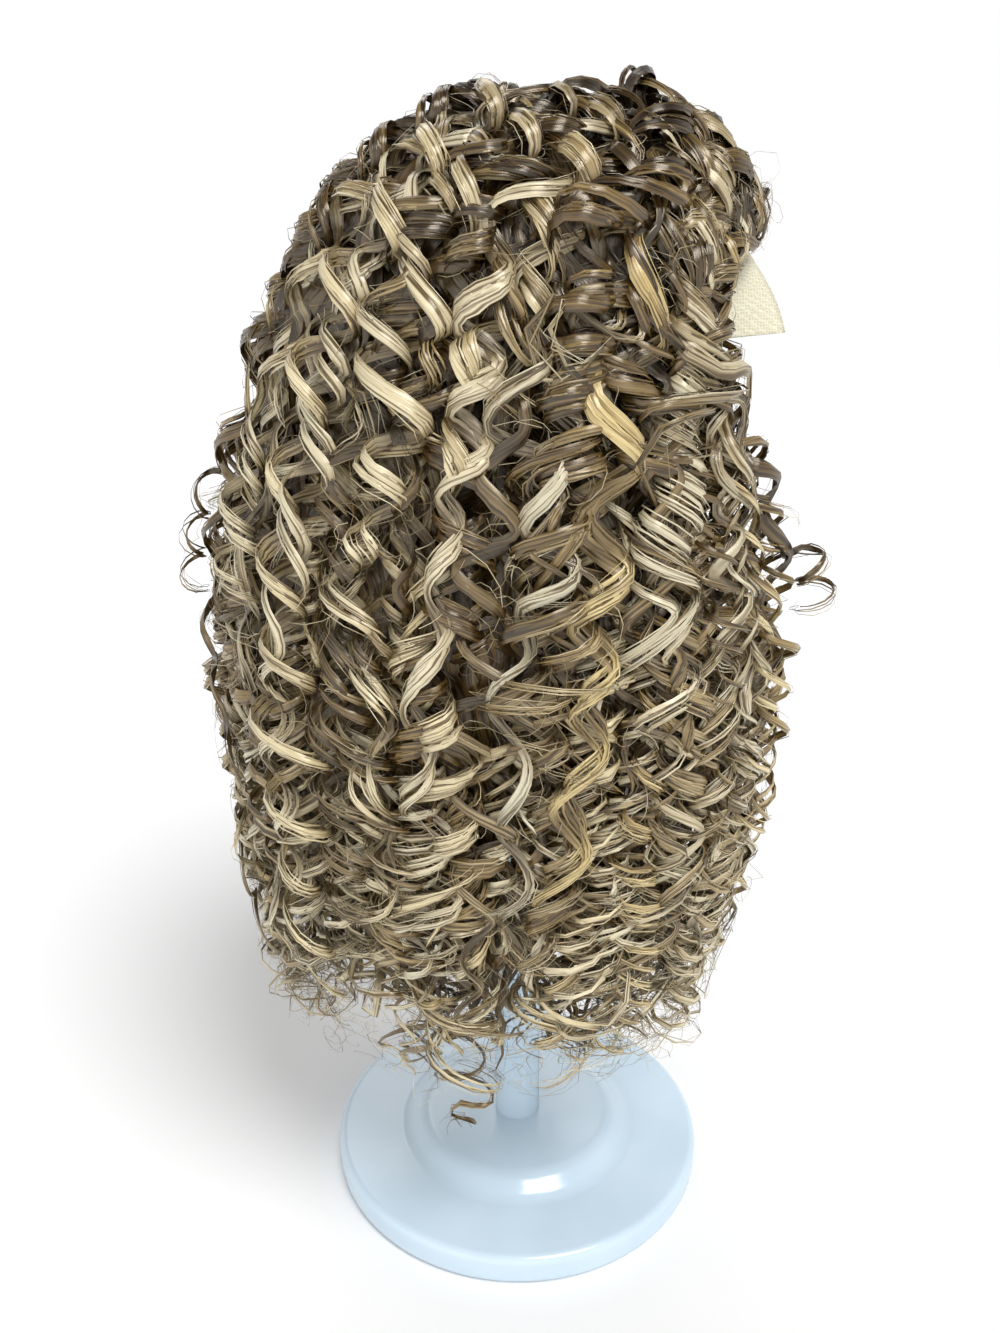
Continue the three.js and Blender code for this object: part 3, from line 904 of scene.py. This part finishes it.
def lock_look(rng, kind, tone=None):
    row = KINDS[kind]
    if tone is None:
        bright = rng.uniform() < row["highlights"]
        tone = rng.uniform(0.6, 0.9) if bright else rng.normal(0.33, 0.09)
    look = {key: rng.uniform(*row[key]) if key in DRAWN else row[key] for key in row}
    look.update(
        clumps=int(rng.integers(*row["clumps"])), rise=rng.uniform(10, 24), phase=rng.uniform(0, 2 * np.pi),
        hand=rng.choice([-1, 1]), tone=tone, mix=rng.uniform(0.04, 0.16), flip=rng.uniform(0.35, 1.5),
    )
    return look


print("kinds of lock:", ", ".join(KINDS))

# %% [markdown]
# ## Locks in layers
# A wig is dressed in layers: locks from the parting lie on top, and others rooted lower down fill out
# below. Each row is one layer of a section. Locks are spread evenly over the turns where they hang and
# then shaken a little. A dark undercoat near the cap closes the gaps between them; its dark tone is
# painted shade of the deep gaps.

# %% Locks in layers
LAYERS = [
    dict(name="crown", locks=10, stop=(4.6, 7.2), deep=(16, 7), kinds=("wave", "ringlet"),
        higher=0.45),
    dict(name="top", locks=11, stop=(9.0, 10.2), deep=(16, 6), kinds=("ringlet", "wave")),
    dict(name="middle", locks=8, start=(2.8, 3.8), stop=(8.6, 10.1), deep=(19, 13),
        kinds=("ringlet", "wave", "frizzy"), steps=9),
    dict(name="low", locks=10, start=(4.3, 5.2), stop=(8.8, 10.1), deep=(22, 16),
        kinds=("frizzy", "frizzy", "wave"), steps=7, loose=0, thickness=0.9),
    dict(name="nape", locks=4, start=(5.2, 5.9), stop=(8.8, 9.9), deep=(27, 27),
        kinds=("frizzy",), steps=6, loose=0, thickness=1.0, tone=(0.12, 0.3)),
    dict(name="hem", locks=16, start=(6.0, 7.4), stop=(9.3, 10.3), deep=(20, 11),
        kinds=("frizzy",), thickness=0.9, tone=(0.42, 0.82)),
]
SECTIONS = {"right": (36, 125), "left": (-125, -36), "back": (125, 235)}


def from_front(turn):
    """Degrees from the front, whichever way round."""
    return abs(turn) if abs(turn) <= 180 else 360 - abs(turn)


def top_root(rng, turn):
    """Turn and place where a lock of the top layer leaves the parting or the crown."""
    away = from_front(turn)
    root_turn = np.interp(away, [36, 60, 90, 120, 180], [5, 7, 22, 85, 175])
    root_place = np.interp(away, [36, 60, 90, 120, 180], [2.9, 1.9, 1.0, 0.7, 0.8])
    if turn > 180:
        root_turn = 360 - root_turn
    return math.copysign(root_turn, turn), root_place + rng.uniform(-0.25, 0.35)


def layer_locks(rng, section, layer):
    low, high = SECTIONS[section]
    made = []
    for i in range(layer["locks"]):
        turn = low + (high - low) * (i + 0.5 + rng.uniform(-0.4, 0.4)) / layer["locks"]
        stop = rng.uniform(*layer["stop"])
        root, hang = layer["deep"]
        hang += rng.uniform(-3, 4)
        if layer["name"] in ("crown", "top"):
            from_turn, start = top_root(rng, turn)
            start = max(start - layer.get("higher", 0), 0.08)
        else:
            from_turn, start = turn + rng.uniform(-6, 6), rng.uniform(*layer["start"])
        over = min(max(start + 1.5, 3.7), stop - 0.8)
        fall = min(max(start + 2.4, 5.2), stop - 0.4)
        drift = rng.uniform(-9, 9)
        stations = [
            (from_turn, start, root),
            (from_turn + 0.25 * (turn - from_turn), start + 0.2 * (over - start), 0.2 * root + 0.8 * hang),
            (from_turn + 0.8 * (turn - from_turn), over, hang),
            (turn, fall, hang),
            (turn + drift, 0.5 * (fall + stop), hang),
            (turn - 0.4 * drift, stop, hang + rng.uniform(-4, 5)),
        ]
        tone = rng.uniform(*layer["tone"]) if "tone" in layer else None
        look = lock_look(rng, rng.choice(layer["kinds"]), tone)
        look.update({key: layer[key] for key in ("steps", "loose", "thickness") if key in layer})
        made += ringlet(rng, lock_axis(stations, rng.uniform(4, 9), rng), look)
    return made


UNDERCOAT = {
    "right": {"from": 0, "to": 125, "gap": 2.3, "breadth": 2.1},
    "left": {"from": -125, "to": 0, "gap": 2.3, "breadth": 2.1},
    "back": {"from": 125, "to": 235, "gap": 2.0, "breadth": 2.7},
}
UNDERCOAT_STOP = {"away": [0, 30, 41, 48, 53, 60], "place": [2.8, 3.05, 3.4, 3.8, 8.6, 9.6]}
UNDERCOAT_DEPTH = {"place": [0, 2, 3.4, 4.2, 5, 7], "depth_mm": [21, 19, 13, 18, 24, 22]}


def undercoat(rng, section):
    """Broad locks by the cap that close the gaps between curls; their dark tone is painted shade."""
    row = UNDERCOAT[section]
    made = []
    for turn in np.arange(row["from"] + 1.2, row["to"], row["gap"]):
        stop = np.interp(from_front(turn), UNDERCOAT_STOP["away"], UNDERCOAT_STOP["place"])
        places = np.linspace(0.03, stop + rng.uniform(-0.2, 0.2), 7)
        depth = np.interp(places, UNDERCOAT_DEPTH["place"], UNDERCOAT_DEPTH["depth_mm"])
        depth = depth + rng.uniform(-2.5, 1.5)
        # The dark tone is painted shade of the deep gaps between the curls.
        look = lock_look(rng, "inner", tone=rng.uniform(0.1, 0.24))
        look["thickness"] = row["breadth"]
        made += ringlet(rng, lock_axis([(turn, p, d) for p, d in zip(places, depth)]), look)
    return made


for number, section in enumerate(SECTIONS):
    rng = np.random.default_rng(20 + number)
    upper = [s for layer in LAYERS[:2] for s in layer_locks(rng, section, layer)]
    add_hair(f"{section}_top_locks", upper, rng, f"hair_{section}")
    rng = np.random.default_rng(40 + number)
    under = [s for layer in LAYERS[2:] for s in layer_locks(rng, section, layer)]
    add_hair(f"{section}_under_locks", under, rng)
    rng = np.random.default_rng(60 + number)
    add_hair(f"{section}_undercoat", undercoat(rng, section), rng)

# %% [markdown]
# ## Hairline locks
# At the lace the hair is tied in singly and brushed back. These locks rise from the hairline, turn
# over and join the side, and fine short hairs stand loose along the edge.

# %% Hairline locks
HAIRLINE_LOCKS = 7
PARTING_LOCKS = 5
BABY_HAIRS = 60
HAIRLINE = {"turn": [0, 27, 41, 48, 51], "place": [3.25, 3.4, 3.72, 4.15, 4.5]}


def side_axis(side, stations, *sway):
    """The middle line of a lock given for the right side; side is 1 there and -1 on the left."""
    return lock_axis([(side * turn, place, depth) for turn, place, depth in stations], *sway)


def hairline_locks(rng, side):
    made = []
    for i in range(HAIRLINE_LOCKS):
        share = (i + rng.uniform(0.2, 0.8)) / HAIRLINE_LOCKS
        turn = 3 + 47 * share
        place = np.interp(turn, HAIRLINE["turn"], HAIRLINE["place"])
        hang = 40 + 26 * share + rng.uniform(-4, 4)
        stations = [
            (turn, place, 12), (turn + 5, place - 0.25, 7), (turn + 14, place - 0.1, 7),
            (hang + 10, 4.4, 8), (hang + 4, 5.4, 9), (hang, 7.0, 9), (hang, rng.uniform(8.0, 9.8), 12),
        ]
        kind = rng.choice(["wave", "frizzy", "ringlet"])
        made += ringlet(rng, side_axis(side, stations, 3, rng), lock_look(rng, kind))
    return made


def parting_locks(rng, side):
    """Short waves that start along the parting and lie across the roots of the others."""
    made = []
    for i in range(PARTING_LOCKS):
        place = 0.25 + 2.3 * (i + rng.uniform(0.2, 0.8)) / PARTING_LOCKS
        stations = [
            (4, place, 14), (16, place + 0.1, 8), (34, place + 0.5, 6), (52, place + 1.2, 7),
            (64 + rng.uniform(-8, 8), place + 2.2, 8),
        ]
        made += ringlet(rng, side_axis(side, stations, 3, rng), lock_look(rng, "wave"))
    return made


def baby_hairs(rng, side):
    made = []
    for _ in range(BABY_HAIRS):
        turn = rng.uniform(0, 51)
        place = np.interp(turn, HAIRLINE["turn"], HAIRLINE["place"]) + rng.uniform(-0.15, 0.05)
        reach = rng.uniform(8, 26)
        stations = [
            (turn, place, 13), (turn + 0.2 * reach, place - 0.1, 9),
            (turn + 0.7 * reach, place - rng.uniform(-0.2, 0.5), rng.uniform(5, 10)),
            (turn + reach, place - rng.uniform(-0.3, 0.6), rng.uniform(4, 11)),
        ]
        look = lock_look(rng, "frizzy", tone=rng.uniform(0.2, 0.5))
        look.update(body=0, fine=0, loose=1, radius=rng.uniform(1.5, 4), pitch=rng.uniform(14, 26), rise=10)
        made += ringlet(rng, side_axis(side, stations), look)
    return made


for name, side in (("right", 1), ("left", -1)):
    rng = np.random.default_rng(80 + side)
    edge = hairline_locks(rng, side) + baby_hairs(rng, side) + parting_locks(rng, side)
    add_hair(f"{name}_hairline_locks", edge, rng)

# %% [markdown]
# ## Show locks
# A few light locks lie over all the others on the right side, and are what the eye finds first: a long
# cream one, an ash-white one and a golden one beside the temple. They are placed one by one, with a row
# of turns and outline places for each. Loops hang at the hem, and two thin stray curls leave the outline
# at the back and front.

# %% Show locks
SHOW_LOCKS = [
    dict(turns=[60, 84, 100, 104, 108, 112, 110], places=[1.2, 2.2, 3.4, 4.6, 5.8, 7.2, 8.8],
        kind="wave", tone=0.86, radius=7, pitch=33, clumps=2, depth=5),
    dict(turns=[86, 92, 96, 90, 97, 96, 99], places=[2.6, 3.8, 4.8, 5.8, 6.6, 7.4, 8.6],
        kind="wave", tone=0.8, radius=8, pitch=36, clumps=2, depth=5, warmth=0.1),
    dict(turns=[40, 58, 70, 77, 80, 84, 86], places=[2.4, 3.2, 4.0, 4.9, 6.0, 7.2, 8.4],
        kind="wave", tone=0.74, radius=8, pitch=38, clumps=3, depth=4, warmth=1.0),
    dict(turns=[110, 124, 132, 136, 140, 142, 140], places=[1.4, 2.6, 3.8, 5.0, 6.2, 7.4, 8.8],
        kind="wave", tone=0.8, radius=7, pitch=32, clumps=2, depth=5),
    dict(turns=[100, 112, 119, 122, 124], places=[1.0, 2.0, 3.2, 4.4, 5.4],
        kind="ringlet", tone=0.62, radius=8, pitch=28, clumps=2, depth=7),
    dict(turns=[130, 140, 150, 153, 155, 152], places=[1.4, 2.4, 3.4, 4.4, 5.6, 6.6],
        kind="ringlet", tone=0.64, radius=8, pitch=27, clumps=2, depth=6),
    dict(turns=[58, 60, 56, 59, 55], places=[5.4, 6.2, 7.2, 8.2, 9.2],
        kind="frizzy", tone=0.66, radius=7, pitch=25, clumps=3, depth=6),
    dict(turns=[70, 68, 72, 69, 72], places=[5.9, 6.6, 7.6, 8.6, 9.8],
        kind="frizzy", tone=0.7, radius=7, pitch=24, clumps=3, depth=6, warmth=0.9),
    dict(turns=[47, 45, 48, 46], places=[6.4, 7.2, 8.2, 9.3],
        kind="frizzy", tone=0.62, radius=7, pitch=24, clumps=3, depth=6),
    dict(turns=[104, 107, 109, 108], places=[8.2, 9.0, 9.8, 10.3],
        kind="frizzy", tone=0.15, radius=8, pitch=28, clumps=1, depth=9, slim=1.1),
    dict(turns=[120, 123, 121, 123], places=[8.0, 8.8, 9.5, 10.1],
        kind="frizzy", tone=0.45, radius=9, pitch=26, clumps=2, depth=9, slim=0.6),
    dict(turns=[150, 153, 152, 154], places=[7.8, 8.6, 9.3, 9.9],
        kind="frizzy", tone=0.25, radius=9, pitch=26, clumps=2, depth=8, slim=0.6),
    dict(turns=[168, 175, 181, 184, 182], places=[0.8, 1.8, 3.2, 4.6, 6.0],
        kind="ringlet", tone=0.4, radius=8, pitch=28, clumps=3, depth=6),
    dict(turns=[172, 174, 177, 178], places=[4.9, 5.3, 5.9, 6.6],
        kind="frizzy", tone=0.12, radius=6, pitch=22, clumps=1, depth=-5),
    dict(turns=[36, 33, 31, 30], places=[5.6, 5.8, 6.1, 6.4],
        kind="frizzy", tone=0.15, radius=6, pitch=20, clumps=1, depth=-6),
    dict(turns=[100, 106, 110, 108, 111], places=[7.4, 8.2, 8.9, 9.5, 10.1],
        kind="ringlet", tone=0.62, radius=10, pitch=28, clumps=2, depth=8, warmth=0.6),
    dict(turns=[92, 88, 84, 87, 84], places=[7.6, 8.3, 8.9, 9.4, 9.9],
        kind="ringlet", tone=0.52, radius=10, pitch=27, clumps=2, depth=8, warmth=0.8),
]
SHOW_ROOT_DEPTH_MM = 14
STRAY_STEPS = 15


def show_locks(rng):
    made = []
    for row in SHOW_LOCKS:
        halfway = 0.5 * (SHOW_ROOT_DEPTH_MM + row["depth"])
        rise = [SHOW_ROOT_DEPTH_MM, halfway] + [row["depth"]] * (len(row["turns"]) - 2)
        look = lock_look(rng, row["kind"], tone=row["tone"])
        look.update(
            radius=row["radius"], pitch=row["pitch"], clumps=row["clumps"], mix=0.07, fine=3, loosen=3,
            thickness=look["thickness"] * row.get("slim", 1), warmth=row.get("warmth", 0.5),
            steps=STRAY_STEPS if row["clumps"] == 1 else look["steps"],
        )
        made += ringlet(rng, lock_axis(list(zip(row["turns"], row["places"], rise)), 2, rng), look)
    return made


rng = np.random.default_rng(90)
add_hair("show_locks", show_locks(rng), rng)

# %% [markdown]
# ## Frizz
# Single hairs that have left their locks loop over the dark gaps and stand off the outline. Hair curves
# could draw them, but only meshes keep their shape outside Blender, so each is a thin prism too: a
# drifting loop, from just above the outline to about two centimetres below it.

# %% Frizz
FRIZZ_HAIRS = 1450
ROW_MM = 52


def frizz(rng, count):
    made = []
    for _ in range(count):
        turn, place = rng.uniform(-180, 180), 1.2 + 8.7 * rng.uniform() ** 0.7
        if abs(turn) < max(np.interp(place, FACE_EDGE["place"], FACE_EDGE["turn"]) + 2, 28):
            continue
        length = rng.uniform(30, 95)
        loops = rng.uniform(0.5, 2.0) * 2 * np.pi
        t = np.linspace(0, 1, max(int(loops * 1.7), 8))
        size = length / loops * rng.uniform(0.5, 1.0)
        start = rng.uniform(0, 7)
        across = size * np.sin(loops * t + start) + rng.uniform(-15, 15) * t
        down = size * rng.uniform(0.6, 1.0) * np.cos(loops * t + start) + rng.uniform(-5, 30) * t
        depth = rng.uniform(4, 15) + rng.uniform(2, 5) * np.sin(loops * t * 0.8 + rng.uniform(0, 7))
        reach = np.maximum(outline("side", np.array(place)), 30)
        where = np.clip(place + down / ROW_MM, 0.3, 10.2)
        centre = clear_of_cap(hair_point(turn + np.degrees(across / reach), where, depth))
        face = unit(centre - np.array([0, 0, 300]))
        made.append({
            "centre": centre, "face": face, "width": np.full(len(t), rng.uniform(0.2, 0.3)),
            "tone": rng.uniform(0.25, 0.9), "share": 0.3 + 0.7 * t,
        })
    return made


rng = np.random.default_rng(100)
add_hair("loose_frizz", frizz(rng, FRIZZ_HAIRS), rng)

# %% [markdown]
# ## Floor and light
# A plain pale floor, a broad soft key light from above on the wig's right side, and three weaker ones
# round it. The pale surround is dimmer overhead, so that the curls still shade one another.

# %% Floor and light
bpy.ops.mesh.primitive_plane_add(size=6, location=(0, 0, 0))
floor = start_piece("floor")
floor_material, floor_tree, floor_shader = new_material("pale_floor")
set_inputs(floor_tree, floor_shader, {"Base Color": linear("#f0f0f0"), "Roughness": 0.9})
floor.data.materials.append(floor_material)


def soft_sun(name, toward, strength, spread):
    """A light so far off that it falls evenly; spread is how wide it looks, in degrees."""
    bpy.ops.object.light_add(type="SUN", location=(0, 0, 2))
    light = bpy.context.object
    light.name = name
    light.data.energy = strength
    light.data.angle = math.radians(spread)
    x, y, z = toward
    light.rotation_euler = (0, math.atan2(math.hypot(x, y), z), math.atan2(y, x))
    return light


soft_sun("key", (-0.55, -0.3, 1.0), 2.2, 26)
soft_sun("side", (-0.7, 0.9, 0.6), 0.3, 40)
soft_sun("back", (0.9, 0.1, 0.9), 0.5, 30)
soft_sun("low", (-1.0, 0.15, 0.35), 0.2, 40)
world = bpy.data.worlds.new("pale_surround")
world.use_nodes = True
sky = world.node_tree
toward = add_node(sky, "ShaderNodeTexCoord")
height = add_node(sky, "ShaderNodeSeparateXYZ", inputs={"Vector": toward.outputs["Generated"]})
glow = add_node(sky, "ShaderNodeMapRange", inputs={
    "Value": height.outputs["Z"], "From Min": 0.3, "From Max": 0.8, "To Min": 1.0, "To Max": 0.2,
})
sky.nodes["Background"].inputs["Color"].default_value = (1, 1, 1, 1)
sky.links.new(glow.outputs["Result"], sky.nodes["Background"].inputs["Strength"])
bpy.context.scene.world = world
print("surround:", world.name)
